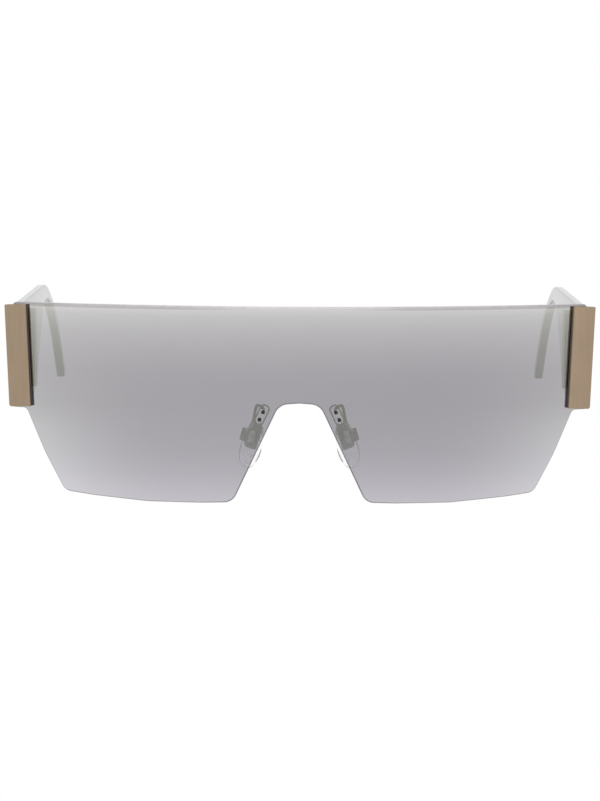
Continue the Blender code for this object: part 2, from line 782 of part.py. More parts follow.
def stand_and_centre():
    """Move everything so that the box of the part stands on z = 0, centred on the origin."""
    bpy.context.view_layer.update()
    pieces = [piece for piece in bpy.data.objects if not piece.hide_render]
    corners = [piece.matrix_world @ vertex.co for piece in pieces for vertex in piece.data.vertices]
    low = Vector([min(corner[axis] for corner in corners) for axis in range(3)])
    high = Vector([max(corner[axis] for corner in corners) for axis in range(3)])
    middle = (low + high) / 2
    for piece in bpy.data.objects:
        piece.location -= Vector((middle.x, middle.y, low.z))


def main():
    """Build the sunglasses."""
    for old in list(bpy.data.objects):
        bpy.data.objects.remove(old)
    lens_material = new_material("mirror_lens", (0.33, 0.33, 0.34), 0.06, 0.3, 0.85)
    bronze = new_material("satin_bronze", (0.38, 0.28, 0.20), 0.38, 1.0)
    dark_tray = new_material("dark_tray", (0.045, 0.035, 0.03), 0.45, 0.6)
    smoke = new_material("smoke_plastic", (0.10, 0.10, 0.105), 0.12, 0.0, 0.8)
    metal = new_material("grey_metal", (0.45, 0.44, 0.43), 0.3, 1.0)
    screw_steel = new_material("screw_steel", (0.30, 0.29, 0.28), 0.3, 1.0)
    black = new_material("black_pin", (0.012, 0.012, 0.012), 0.35, 0.0)
    silicone = new_material("clear_silicone", (0.85, 0.85, 0.83), 0.2, 0.0, 0.35)
    add_lens(lens_material)
    for name, side in (("left", -1), ("right", 1)):
        add_plaque(name, side, bronze, dark_tray, screw_steel)
        add_end_piece(name, side, metal, screw_steel)
        add_temple(name, side, smoke, metal, screw_steel)
        add_pad_bracket(name, side, metal, black, screw_steel)
        add_pad(name, side, silicone, metal)
    stand_and_centre()


main()
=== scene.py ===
"""Looks of the rimless shield sunglasses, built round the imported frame."""
from math import asin, atan, atan2, ceil, cos, hypot, pi, radians, sin, sqrt, tan, tau

import bmesh
import bpy
from mathutils import Matrix, Vector


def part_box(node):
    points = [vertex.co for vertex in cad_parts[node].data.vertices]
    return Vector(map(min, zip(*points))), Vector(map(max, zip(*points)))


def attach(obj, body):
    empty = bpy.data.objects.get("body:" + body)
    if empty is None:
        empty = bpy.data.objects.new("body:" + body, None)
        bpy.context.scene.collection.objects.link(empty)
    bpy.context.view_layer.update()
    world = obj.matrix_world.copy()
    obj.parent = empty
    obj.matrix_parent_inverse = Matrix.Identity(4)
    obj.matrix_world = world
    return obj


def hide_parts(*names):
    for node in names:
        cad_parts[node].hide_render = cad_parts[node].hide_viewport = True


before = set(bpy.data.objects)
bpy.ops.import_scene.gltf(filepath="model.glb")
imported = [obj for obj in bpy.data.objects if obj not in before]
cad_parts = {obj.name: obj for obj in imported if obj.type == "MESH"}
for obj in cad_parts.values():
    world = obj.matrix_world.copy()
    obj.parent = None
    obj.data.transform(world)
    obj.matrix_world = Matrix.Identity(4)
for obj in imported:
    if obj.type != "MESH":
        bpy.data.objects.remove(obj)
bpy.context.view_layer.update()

MM = 0.001

# The lens's front is at y = 0 in the middle and its top at z = 0 while pieces are drawn
lens_low, lens_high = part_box("lens_shield")
drawing_origin = Vector((0, lens_low.y, lens_high.z))

# Clearances
seat_gap = 0.2 * MM
bore_gap = 0.08 * MM
knuckle_gap = 0.15 * MM
swing_gap = 0.3 * MM
overrun = 1 * MM
same_place = 0.001 * MM
same_place_digits = 6

# Lens
lens_radius = 200 * MM
lens_thickness = 2 * MM
lens_half_width = lens_high.x
lens_corner_radius = 1.2 * MM
lens_top_chamfer = 0.4 * MM
lens_rim_radius = 0.3 * MM
lens_rim_stretch = 3
lens_back_rim_radius = 0.14 * MM
lens_height = 50.1 * MM
lens_tab_margin = 0.35 * MM
lens_tab_radius = 1.2 * MM
lens_shoulder_inset = 3.65 * MM
lens_shoulder_radius = 1.4 * MM
lens_side_inset = 8.4 * MM
lens_side_drop = 37.9 * MM
lens_side_radius = 40 * MM
lens_foot_inset = 13.7 * MM
lens_foot_rise = 2.5 * MM
lens_foot_radius = 3 * MM
lens_belly_bend_share = 0.65
notch_foot_half_width = 16.8 * MM
notch_foot_rise = 0.8 * MM
notch_foot_radius = 3.3 * MM
notch_half_width = 5.1 * MM
notch_drop = 24.6 * MM
notch_crown = 0.4 * MM
notch_radius = 3.7 * MM
lens_column_spacing = 1 * MM
lens_column_gap = 0.2 * MM

# Lens finishes round a section, from the low front edge: 0 coat, 1 tint, 2 rim, 3 top edge
lens_strip_finishes = (2, 0, 3, 3, 3, 1, 1, 1)

# Plaque and tray
plaque_inset = 2 * MM
plaque_width = 5.95 * MM
plaque_height = 26 * MM
plaque_thickness = 0.6 * MM
plaque_edge_radius = 0.2 * MM
plaque_top_drop = 0.5 * MM
plaque_lean = radians(2.7)
plaque_corner_radius = 0.25 * MM
plaque_low_corner_radius = 0.6 * MM
tray_thickness = 0.4 * MM
tray_show = 0.05 * MM
tray_corner_radius = 0.5 * MM
tray_edge_radius = 0.12 * MM

# Near-black on the lens's back behind a plaque, reaching a little inboard of it
darkened_margin = 0.35 * MM
darkened_blur = 0.12 * MM
darkened_foot_share = 0.004
darkened_tone = 0.02

# Plaque screws
plaque_screw_radius = 0.6 * MM
plaque_screw_head = (1.1 * MM, 0.6 * MM)
plaque_screw_bite = 0.3 * MM
plaque_screw_drops = (3.9 * MM, 19.3 * MM)
plaque_screw_x = lens_half_width - 2.8 * MM

# Hinge
hinge_x = lens_half_width - 3.8 * MM
hinge_lean = radians(1.45)
hinge_standoff = 4.3 * MM
hinge_top_drop = 5.4 * MM
knuckle_radius = 1.6 * MM
knuckle_height = 2 * MM
knuckle_count = 5
hinge_height = knuckle_count * knuckle_height + (knuckle_count - 1) * knuckle_gap
hinge_screw_radius = 0.6 * MM
hinge_screw_head = (1.15 * MM, 0.7 * MM)

# End piece
end_plate_thickness = 1.4 * MM
end_plate_inboard = 2.4 * MM
end_plate_outboard = 3.3 * MM
end_top_drop = 1.5 * MM
end_bottom_drop = 21.6 * MM
end_block_sink = 0.7 * MM
end_wing_inset = 0.5 * MM
metal_edge_radius = 0.12 * MM

# Temple
temple_thickness = 2.4 * MM
temple_height = 26 * MM
temple_edge_radius = 0.5 * MM
temple_tip_radius = 1.3 * MM
temple_top_drop = 1.3 * MM

# Runs of the temple's top edge: each one's length, and how far it turns down
temple_runs = ((74.7 * MM, 0), (14 * MM, radians(16.5)), (13 * MM, radians(2.5)),
               (30 * MM, radians(20)), (13 * MM, 0))
temple_length = sum(length for length, turn in temple_runs)

# Height of the temple: share of the length from the front, then share of the full height
temple_height_shares = (
    (0.0, 1.0), (0.222, 1.0), (0.259, 0.985), (0.288, 0.92), (0.327, 0.775), (0.366, 0.614),
    (0.405, 0.457), (0.444, 0.329), (0.483, 0.233), (0.532, 0.174), (0.611, 0.124), (0.698, 0.108),
    (0.826, 0.122), (1.0, 0.15),
)
temple_tip_shares = (0.15, 0.3, 0.45, 0.6, 0.73, 0.84, 0.92)

# Temple core
core_thickness = 0.7 * MM
core_height = 5.2 * MM
core_top_drop = 0.6 * MM
core_length = 46 * MM
core_end_slant = 5 * MM

# Hinge leaf and rivets
leaf_thickness = 0.7 * MM
leaf_start = 2.2 * MM
leaf_length = 8 * MM
leaf_tongue_length = 3.2 * MM
rivet_radius = 0.55 * MM
rivet_head = (1 * MM, 0.45 * MM)
rivet_inset = 2.3 * MM

# Pad bracket
bracket_inset = 2.85 * MM
bracket_below_notch = 2.75 * MM
bracket_width = 2.6 * MM
bracket_height = 5.5 * MM
bracket_thickness = 0.8 * MM
bracket_rim = 0.35 * MM
bracket_recess = 0.06 * MM
pin_spacing = 2.1 * MM
pin_radius = 0.3 * MM
pin_head = (0.48 * MM, 0.3 * MM)
arm_radius = 0.4 * MM

# Pad
pad_axis_outboard = 3.2 * MM
pad_axis_below = 5.85 * MM
pad_axis_standoff = 5.9 * MM
pad_lean = radians(16)
pad_splay = radians(52)
pad_width = 6 * MM
pad_height = 12.6 * MM
pad_thickness = 2.6 * MM
pad_low_shift = 2.2 * MM
pad_taper_share = 0.18
pad_back_shares = ((0.0, 0.9), (0.06, 0.95), (0.15, 0.985), (0.3, 1.0))
pad_crown_steps = 9
pad_crown_left_steps = 0.6
pad_crown_power = 0.7
pad_core_width = 4.2 * MM
pad_core_height = 6.6 * MM
pad_core_thickness = 0.6 * MM
post_width = 1.2 * MM
post_height = 1.6 * MM
post_depth = 0.7 * MM
box_cheek = 0.5 * MM
box_height = 3.2 * MM
box_front = 0.9 * MM
box_floor = 0.5 * MM
pad_rock_gap = 0.6 * MM
pad_screw_radius = 0.4 * MM
pad_screw_head = (0.7 * MM, 0.4 * MM)

# Heads of screws, pins and rivets, given above by radius and height
slot_width_share = 0.26
slot_depth_share = 0.45
head_dome_share = 0.3

# Turns: a head to the other side, and a frame's third axis to the line of its first
turned_over = Matrix.Rotation(pi, 4, "X")
turned_across = Matrix.Rotation(pi / 2, 4, "Y")

# Facets and edges
round_sides = 48
small_sides = 32
pad_sides = 48
arm_steps = 14
temple_steps = 96
arc_step = radians(6)
head_steps = 5
bevel_segments = 3
bevel_angle = radians(35)
sharp_angle = radians(40)

# Camera, from the photograph's frame of 600 by 801 pixels
camera_distance = 750 * MM
camera_elevation = radians(6.25)
camera_roll = radians(0.24)
frame_height_at_lens = 200.4 * MM
target_below_lens_top = 23.4 * MM
target_aside = 0.12 * MM
sensor_width_mm = 36

# Lens coating: share of the lens's height from the bottom, then light reflected in the middle,
# partly the coating's own gradient and partly painted reflection; what painted reflection at the
# ends adds to it and its colour; the left end gets a little more painted reflection than the right
coat_cover = 0.65
coat_gradient_and_painted_reflection = (
    (0.0, 0.35), (0.06, 0.313), (0.16, 0.252), (0.26, 0.208), (0.36, 0.19), (0.5, 0.176),
    (0.6, 0.179), (0.67, 0.19), (0.77, 0.23), (0.87, 0.284), (0.95, 0.36), (1.0, 0.47),
)
coat_side_painted_reflection = ((0.0, 0.26), (0.26, 0.235), (0.36, 0.2), (0.5, 0.11), (0.77, 0.05), (1.0, 0.02))
painted_reflection_side_start = 30 * MM
coat_left_painted_reflection = 0.015
coat_warmth = (
    (0.0, (1.0, 1.0, 1.0)), (0.3, (0.98, 1.0, 0.93)), (0.5, (0.975, 1.0, 0.88)),
    (1.0, (0.99, 1.0, 0.9)),
)

# Painted shade: a darker line under the lens's top edge, which fades in away from the middle
coat_painted_shade_line = ((0.981, 0.0), (0.984, 1.0), (1.0, 1.0))
painted_shade_line_start = 8 * MM
painted_shade_line_end = 34 * MM
painted_shade_line_depth = 0.34

# Lens edges: share of the half width from the middle, then light reflected there, as painted
# highlight and shade along each edge; the top edge is painted lighter than the low rim
rim_painted_light = ((0.0, 0.22), (0.24, 0.24), (0.34, 0.42), (1.0, 0.42))
top_edge_painted_light = ((0.0, 0.76), (0.22, 0.74), (0.33, 0.66), (0.47, 0.62), (0.75, 0.58), (1.0, 0.4))

# Grain: the range that noise mostly fills, scales a metre, and heights of bumps
noise_low = 0.3
noise_high = 0.7
patch_scale = 160
coat_haze_scale = 90
tint_haze_scale = 120
cloud_scale = 60
moulding_haze_scale = 700
speckle_scale = 2500
edge_streaks = (400, 2500, 400)
polish_marks = (900, 120, 900)
bronze_grain = (3000, 3000, 60)
metal_grain = (900, 2500, 900)
steel_grain = (1500, 1500, 1500)
metal_bump = 0.02 * MM
paint_bump = 0.02 * MM
moulding_bump = 0.05 * MM

# Stage, with each lamp's name, place, watts and size
floor_half_size = 4
white = (1.0, 1.0, 1.0, 1.0)
world_diffuse = 0.8
lamps = (("key", (-0.9, -1.2, 1.6), 3.0, 1.2), ("fill", (1.3, -0.8, 0.9), 1.5, 1.0))


def feed(tree, socket, value):
    """Link an input to a socket, or set it to a value."""
    if isinstance(value, bpy.types.NodeSocket):
        tree.links.new(value, socket)
    else:
        socket.default_value = value


def feed_named(tree, node, values):
    """Feed a node's inputs by name."""
    for name, value in values.items():
        feed(tree, node.inputs[name.replace("_", " ")], value)
    return node


def node_in(tree, kind, **inputs):
    """New shader node with some inputs fed by name."""
    return feed_named(tree, tree.nodes.new(kind), inputs)


def new_material(name, color, roughness, metallic, **more):
    """Principled material, its tree and its shader's inputs."""
    material = bpy.data.materials.new(name)
    material.use_nodes = True
    tree = material.node_tree
    more.update(Base_Color=(*color, 1.0), Roughness=roughness, Metallic=metallic)
    shader = feed_named(tree, tree.nodes["Principled BSDF"], more)
    return material, tree, shader.inputs


def object_place(tree):
    """Place on the object, in metres."""
    return tree.nodes.new("ShaderNodeTexCoord").outputs["Object"]


def noise(tree, scale, detail=3.0):
    """Noise factor on the object, with one scale or a scale along each axis."""
    place = object_place(tree)
    if isinstance(scale, tuple):
        place = node_in(tree, "ShaderNodeMapping", Vector=place, Scale=scale).outputs["Vector"]
        scale = 1.0
    node = node_in(tree, "ShaderNodeTexNoise", Vector=place, Scale=scale, Detail=detail)
    return node.outputs["Fac"]


def ramp(tree, factor, stops):
    """Colour ramp through (position, colour) stops."""
    node = node_in(tree, "ShaderNodeValToRGB", Fac=factor)
    elements = node.color_ramp.elements
    while len(elements) < len(stops):
        elements.new(0.5)
    for element, (position, color) in zip(elements, stops):
        element.position = position
        element.color = (*color, 1.0)
    return node.outputs["Color"]


def grey_ramp(tree, factor, stops):
    """Ramp through (position, grey) stops."""
    return ramp(tree, factor, [(position, (grey, grey, grey)) for position, grey in stops])


def between(tree, factor, dark, light):
    """Colour between two, from a noise factor."""
    return ramp(tree, factor, ((noise_low, dark), (noise_high, light)))


def to_range(tree, value, low, high, new_low=0.0, new_high=1.0, smooth=False):
    """Value mapped from one range to another."""
    node = node_in(tree, "ShaderNodeMapRange", Value=value, From_Min=low, From_Max=high,
                   To_Min=new_low, To_Max=new_high)
    node.interpolation_type = "SMOOTHSTEP" if smooth else "LINEAR"
    return node.outputs["Result"]


def vary_roughness(tree, inputs, factor, low, high):
    """Roughness between two values, from a noise factor."""
    feed(tree, inputs["Roughness"], to_range(tree, factor, noise_low, noise_high, low, high))


def add_bump(tree, inputs, height, strength, distance):
    """Bump on a shader from a height."""
    bump = node_in(tree, "ShaderNodeBump", Height=height, Strength=strength, Distance=distance)
    feed(tree, inputs["Normal"], bump.outputs["Normal"])


def arithmetic(tree, operation, first, second, kind="ShaderNodeMath"):
    """Result of a math node on two sockets or values."""
    node = node_in(tree, kind)
    node.operation = operation
    for socket, value in zip(node.inputs, (first, second)):
        feed(tree, socket, value)
    return node.outputs[0]


def tinted(tree, color, factor):
    """Colour times a factor or another colour."""
    return arithmetic(tree, "MULTIPLY", color, factor, "ShaderNodeVectorMath")


def satin_metal(name, color, roughness, grain, spread):
    """Metal with a fine directional grain and slight patches of tone."""
    material, tree, inputs = new_material(name, color, roughness, 1.0)
    lines = noise(tree, grain, 5.0)
    darker, lighter = (tuple(channel * share for channel in color)
                       for share in (1 - spread, 1 + spread))
    patches = between(tree, noise(tree, patch_scale), (0.94, 0.94, 0.94), (1.0, 1.0, 1.0))
    feed(tree, inputs["Base Color"], tinted(tree, between(tree, lines, darker, lighter), patches))
    vary_roughness(tree, inputs, lines, roughness - spread, roughness + spread)
    add_bump(tree, inputs, lines, 0.25, metal_bump)
    return material


def lens_places(tree):
    """Place across the lens, its distance from the middle, and its share of the height."""
    split = node_in(tree, "ShaderNodeSeparateXYZ", Vector=object_place(tree))
    across = split.outputs["X"]
    top = drawing_origin.z
    height = to_range(tree, split.outputs["Z"], top - lens_height, top)
    return across, arithmetic(tree, "ABSOLUTE", across, 0.0), height


def mirror_coat():
    """Silver mirror coating on the lens's front, lighter towards its edges, partly by its own
    gradient and partly by painted reflection, with a painted shade line under the top edge.
    """
    material, tree, inputs = new_material("mirror_coat", (0.3, 0.3, 0.3), 0.03, 1.0,
                                          Alpha=coat_cover)
    across, aside, height = lens_places(tree)
    # Painted reflection: lighter towards the lens's ends, and a little lighter at the left end
    sideways = to_range(tree, aside, painted_reflection_side_start, lens_half_width)
    sideways = arithmetic(tree, "MULTIPLY", sideways, sideways)
    side_painted_reflection = arithmetic(tree, "MULTIPLY", sideways, grey_ramp(tree, height, coat_side_painted_reflection))
    left_painted_reflection = to_range(tree, across, -lens_half_width, lens_half_width, coat_left_painted_reflection,
                         -coat_left_painted_reflection)
    painted_reflection = arithmetic(tree, "ADD", side_painted_reflection, left_painted_reflection)
    # The height gradient holds both the coating's own gradient and painted reflection
    gradient_and_reflection = arithmetic(tree, "ADD", grey_ramp(tree, height, coat_gradient_and_painted_reflection), painted_reflection)
    # Painted shade: a darker line under the top edge, deeper away from the middle
    line = grey_ramp(tree, height, coat_painted_shade_line)
    painted_shade_reach = to_range(tree, aside, painted_shade_line_start, painted_shade_line_end, 0.0, painted_shade_line_depth, True)
    unshaded_share = arithmetic(tree, "SUBTRACT", 1.0, arithmetic(tree, "MULTIPLY", line, painted_shade_reach))
    shown = arithmetic(tree, "MULTIPLY", gradient_and_reflection, unshaded_share)
    strength = arithmetic(tree, "DIVIDE", shown, coat_cover)
    feed(tree, inputs["Base Color"], tinted(tree, ramp(tree, height, coat_warmth), strength))
    vary_roughness(tree, inputs, noise(tree, coat_haze_scale), 0.02, 0.045)
    return material


def lens_back():
    """Violet-grey tint on the lens's back, near-black behind each plaque."""
    material, tree, inputs = new_material("lens_tint", (0.31, 0.267, 0.402), 0.0, 0.0,
                                          Transmission_Weight=1.0, IOR=1.0)
    tone = between(tree, noise(tree, tint_haze_scale), (0.305, 0.262, 0.396), (0.315, 0.272, 0.408))
    low, high = (plaque_frame() @ Vector((-plaque_width / 2, end * plaque_height / 2, 0))
                 for end in (-1, 1))
    low_share, high_share = (1 + corner.z / lens_height for corner in (low, high))
    aside, height = lens_places(tree)[1:]
    limit = to_range(tree, height, low_share, high_share, low.x - darkened_margin,
                     high.x - darkened_margin)
    beyond = arithmetic(tree, "SUBTRACT", aside, limit)
    inboard = to_range(tree, beyond, 0.0, darkened_blur, 1.0, darkened_tone, True)
    below = to_range(tree, height, low_share - darkened_foot_share, low_share, 1.0, 0.0)
    clear = arithmetic(tree, "MAXIMUM", inboard, below)
    feed(tree, inputs["Base Color"], tinted(tree, tone, clear))
    return material


def lens_edge(name, color, cover, painted_light_tones):
    """Polished edge of the lens with fine streaks, with painted highlight and shade along it."""
    material, tree, inputs = new_material(name, color, 0.22, 1.0, Alpha=cover)
    # Painted highlight and shade: the edge's tone is set along it by place
    aside = to_range(tree, lens_places(tree)[1], 0.0, lens_half_width)
    streaks = noise(tree, edge_streaks)
    vary_roughness(tree, inputs, streaks, 0.16, 0.32)
    streak_tone = to_range(tree, streaks, noise_low, noise_high, 0.85)
    tone = arithmetic(tree, "MULTIPLY", grey_ramp(tree, aside, painted_light_tones), streak_tone)
    feed(tree, inputs["Base Color"], tinted(tree, color, tone))
    return material


def smoke_plastic():
    """Translucent smoke-grey plastic with faint polishing marks."""
    material, tree, inputs = new_material("smoke_plastic", (0.37, 0.366, 0.36), 0.06, 0.0,
                                          Transmission_Weight=0.3, IOR=1.49)
    vary_roughness(tree, inputs, noise(tree, polish_marks), 0.04, 0.11)
    cloud = between(tree, noise(tree, cloud_scale), (0.355, 0.351, 0.346), (0.385, 0.381, 0.375))
    feed(tree, inputs["Base Color"], cloud)
    return material


def clear_moulding(name, color, ior, roughness):
    """Clear moulded plastic or silicone with a faint haze."""
    material, tree, inputs = new_material(name, color, roughness, 0.0, Transmission_Weight=1.0,
                                          IOR=ior)
    haze = noise(tree, moulding_haze_scale)
    vary_roughness(tree, inputs, haze, roughness * 0.4, roughness)
    add_bump(tree, inputs, haze, 0.15, moulding_bump)
    return material


def dark_paint(name, color, roughness):
    """Dark satin finish with fine speckle."""
    material, tree, inputs = new_material(name, color, roughness, 0.0)
    speckle = noise(tree, speckle_scale, 4.0)
    lighter = tuple(channel * 1.5 for channel in color)
    feed(tree, inputs["Base Color"], ramp(tree, speckle, ((0.35, color), (0.7, lighter))))
    vary_roughness(tree, inputs, speckle, roughness - 0.06, roughness + 0.1)
    add_bump(tree, inputs, speckle, 0.2, paint_bump)
    return material


def loft(rings, materials=None):
    """Closed solid through rings of points, with a material index for each strip round it."""
    body = bmesh.new()
    materials = materials or [0] * len(rings[0])
    loops = [[body.verts.new(point) for point in ring] for ring in rings]
    for near, far in zip(loops, loops[1:]):
        for index in range(len(near)):
            after = (index + 1) % len(near)
            face = body.faces.new((near[index], near[after], far[after], far[index]))
            face.material_index = materials[index]
    for cap in (body.faces.new(loops[0]), body.faces.new(reversed(loops[-1]))):
        cap.material_index = max(materials)
    return body


def stack(sections, place):
    """Closed solid through (outline, level) sections along a frame's third axis."""
    return loft([[place @ Vector((*point, level)) for point in outline]
                 for outline, level in sections])


def prism(outline, low, high, place):
    """Outline in a frame's first two axes, extruded along its third."""
    return stack(((outline, low), (outline, high)), place)


def circle(radius, sides):
    """Points of a circle round the origin."""
    steps = [tau * index / sides for index in range(sides)]
    return [(radius * cos(step), radius * sin(step)) for step in steps]


def turned(profile, place, sides):
    """Solid turned about a frame's third axis, from (radius, level) points."""
    return stack([(circle(radius, sides), level) for radius, level in profile], place)


def rectangle(left, right, low, high):
    """Corners of a rectangle."""
    return [(left, low), (right, low), (right, high), (left, high)]


def centred(half_width, half_height):
    """Left, right, low and high of a rectangle round the origin."""
    return -half_width, half_width, -half_height, half_height


def rounded_line(corners):
    """Open line through (u, v, radius) corners, each inner one turned into an arc."""
    line = [Vector(corners[0][:2])]
    for before, corner, after in zip(corners, corners[1:], corners[2:]):
        here = Vector(corner[:2])
        back = (Vector(before[:2]) - here).normalized()
        ahead = (Vector(after[:2]) - here).normalized()
        half_turn = (pi - back.angle(ahead)) / 2
        centre = here + (back + ahead).normalized() * corner[2] / cos(half_turn)
        start = here + back * corner[2] * tan(half_turn) - centre
        end = here + ahead * corner[2] * tan(half_turn) - centre
        first = atan2(start.y, start.x)
        turn = (atan2(end.y, end.x) - first + pi) % tau - pi
        steps = max(2, ceil(abs(turn) / arc_step))
        for step in range(steps + 1):
            angle = first + turn * step / steps
            line.append(centre + Vector((cos(angle), sin(angle))) * corner[2])
    line.append(Vector(corners[-1][:2]))
    return line


def rounded_rectangle(left, right, low, high, radius, first_radius=None):
    """Closed rectangle with round corners; the right low one can have its own radius."""
    middle = (left + right) / 2
    corners = [(middle, low, 0), (right, low, first_radius or radius), (right, high, radius),
               (left, high, radius), (left, low, radius), (middle, low, 0)]
    return rounded_line(corners)[:-1]


def value_at(line, position):
    """Second coordinate of a line of points at a value of the first."""
    for near, far in zip(line, line[1:]):
        if near[0] <= position <= far[0] and far[0] > near[0]:
            share = (position - near[0]) / (far[0] - near[0])
            return near[1] + (far[1] - near[1]) * share
    return line[0][1] if position < line[0][0] else line[-1][1]


def curve_point(near, far, leaving, arriving, share):
    """Point of a smooth curve from one place to another, with a slope at each."""
    ease = share * share * (3 - 2 * share)
    return (near + (far - near) * ease + leaving * share * (1 - share) ** 2
            - arriving * share * share * (1 - share))


def eased_at(table, position):
    """Value of a table at a position, on a smooth curve that never overshoots."""
    slopes = [(far[1] - near[1]) / (far[0] - near[0]) for near, far in zip(table, table[1:])]
    tangents = [0.0]
    for before, after in zip(slopes, slopes[1:]):
        tangents.append(2 * before * after / (before + after) if before * after > 0 else 0.0)
    tangents.append(slopes[-1])
    for index, (near, far) in enumerate(zip(table, table[1:])):
        if position <= far[0] or index == len(slopes) - 1:
            span = far[0] - near[0]
            return curve_point(near[1], far[1], span * tangents[index], span * tangents[index + 1],
                               (position - near[0]) / span)
    return table[-1][1]


def frame_from(origin, first, second, third):
    """Matrix of a frame with three given axes."""
    return Matrix.Translation(origin) @ Matrix((first, second, third)).transposed().to_4x4()


def lens_front(station):
    """Depth of the lens's front at a place across it."""
    return lens_radius - sqrt(lens_radius ** 2 - station ** 2)


def lens_frame(station, drop):
    """Frame on the lens front: outboard, up, and back through the lens."""
    turn = asin(station / lens_radius)
    outboard = (cos(turn), sin(turn), 0)
    back = (-sin(turn), cos(turn), 0)
    return frame_from((station, lens_front(station), -drop), outboard, (0, 0, 1), back)


def add_object(name, data):
    """Linked object of a mesh, lamp or camera."""
    item = bpy.data.objects.new(name, data)
    bpy.context.scene.collection.objects.link(item)
    return item


def mesh_from(name, body):
    """Mesh of a body, which is freed."""
    mesh = bpy.data.meshes.new(name)
    body.to_mesh(mesh)
    body.free()
    return mesh


def new_object(name, body, side):
    """Object from a body drawn at +X, put in the row frame and mirrored for the left."""
    for vertex in body.verts:
        vertex.co = Vector((vertex.co.x * side, vertex.co.y, vertex.co.z)) + drawing_origin
    bmesh.ops.recalc_face_normals(body, faces=body.faces)
    return add_object(name, mesh_from(name, body))


def add_piece(name, body, side, tools=(), edge_radius=None):
    """Body with tools cut out or joined on, and its edges rounded."""
    piece = new_object(name, body, side)
    others = []
    for operation, tool_body in tools:
        tool = new_object(f"{name}_tool", tool_body, side)
        boolean = piece.modifiers.new("shape", "BOOLEAN")
        boolean.operation = operation
        boolean.solver = "EXACT"
        boolean.object = tool
        others.append(tool)
    if edge_radius:
        bevel = piece.modifiers.new("round", "BEVEL")
        bevel.width = edge_radius
        bevel.segments = bevel_segments
        bevel.limit_method = "ANGLE"
        bevel.angle_limit = bevel_angle
        bevel.use_clamp_overlap = True
    bpy.context.view_layer.update()
    graph = bpy.context.evaluated_depsgraph_get()
    shaped = bpy.data.meshes.new_from_object(piece.evaluated_get(graph))
    piece.modifiers.clear()
    piece.data = shaped
    shaped.name = name
    for tool in others:
        bpy.data.objects.remove(tool)
    shaped.shade_smooth()
    shaped.set_sharp_from_angle(angle=sharp_angle)
    return piece


def dress(piece, node, body, slot, *materials):
    """Put a piece in place of its CAD node; each face keeps the index of its material."""
    indices = [face.material_index for face in piece.data.polygons]
    piece.data.materials.clear()
    for material in materials:
        piece.data.materials.append(material)
    piece.data.polygons.foreach_set("material_index", indices)
    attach(piece, body)
    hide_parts(node)


def screw_profile(radius, head_radius, head_height, tip, seat):
    """Shank from its tip to the head's seat, and a head with a rounded rim."""
    dome = head_height * head_dome_share
    rim = [(head_radius, seat), (head_radius, seat + head_height - dome)]
    for index in range(1, head_steps + 1):
        angle = pi / 2 * index / head_steps
        rim.append((head_radius - dome + dome * cos(angle),
                    seat + head_height - dome + dome * sin(angle)))
    return [(radius, tip), (radius, seat)] + rim


def add_fastener(name, node, body, side, place, radius, head, ends, finish, slotted=True,
                 sides=round_sides, slot="screw_steel"):
    """Screw, pin or rivet up a frame's third axis, from its tip to its head."""
    head_radius, head_height = head
    top = ends[1] + head_height
    outline = rectangle(*centred(head_radius + overrun, head_radius * slot_width_share / 2))
    driver_slot = (outline, top - head_height * slot_depth_share, top + overrun, place)
    tools = [("DIFFERENCE", prism(*driver_slot))] if slotted else []
    piece = add_piece(name, turned(screw_profile(radius, *head, *ends), place, sides), side, tools)
    dress(piece, node, body, slot, finish)


def bore(radius, low, high, place):
    """Clearance hole for a round shank, as a cutting tool."""
    hole = radius + bore_gap
    return ("DIFFERENCE", turned([(hole, low), (hole, high)], place, small_sides))


def bores(radius, low, high, places):
    """Clearance holes at several frames."""
    return [bore(radius, low, high, place) for place in places]


def lens_outline():
    """Edge of the lens's +X half, from the middle of the top to the middle of the notch."""
    tab_drop = plaque_top_drop + plaque_height + lens_tab_margin
    foot_x = lens_half_width - lens_foot_inset
    belly_x = (notch_foot_half_width + foot_x) / 2
    half_belly = belly_x - notch_foot_half_width
    belly_turn = atan(lens_foot_rise / half_belly) + atan(notch_foot_rise / half_belly)
    belly_radius = half_belly * lens_belly_bend_share / tan(belly_turn / 2)
    return rounded_line([
        (0, 0, 0),
        (lens_half_width, 0, lens_corner_radius),
        (lens_half_width, -tab_drop, lens_tab_radius),
        (lens_half_width - lens_shoulder_inset, -tab_drop, lens_shoulder_radius),
        (lens_half_width - lens_side_inset, -lens_side_drop, lens_side_radius),
        (foot_x, lens_foot_rise - lens_height, lens_foot_radius),
        (belly_x, -lens_height, belly_radius),
        (notch_foot_half_width, notch_foot_rise - lens_height, notch_foot_radius),
        (notch_half_width, -notch_drop, notch_radius),
        (0, notch_crown - notch_drop, 0),
    ])


def lens_column(station, top, bottom, slope):
    """Section of the lens at a place across it, with a top chamfer and a soft rim."""
    turn = asin(station / lens_radius)
    stretch = min(hypot(1, slope), lens_rim_stretch)
    room = (top - bottom) / 4
    low = min(lens_rim_radius * stretch, room)
    back_low = min(lens_back_rim_radius * stretch, room)
    chamfer = min(lens_top_chamfer, room)
    back_top = min(lens_back_rim_radius, room)
    section = [(lens_rim_radius, bottom), (0, bottom + low), (0, top - chamfer), (chamfer, top),
               (lens_thickness - back_top, top), (lens_thickness, top - back_top),
               (lens_thickness, bottom + back_low), (lens_thickness - lens_back_rim_radius, bottom)]
    return [Vector(((lens_radius - depth) * sin(turn),
                    lens_radius - (lens_radius - depth) * cos(turn), level))
            for depth, level in section]


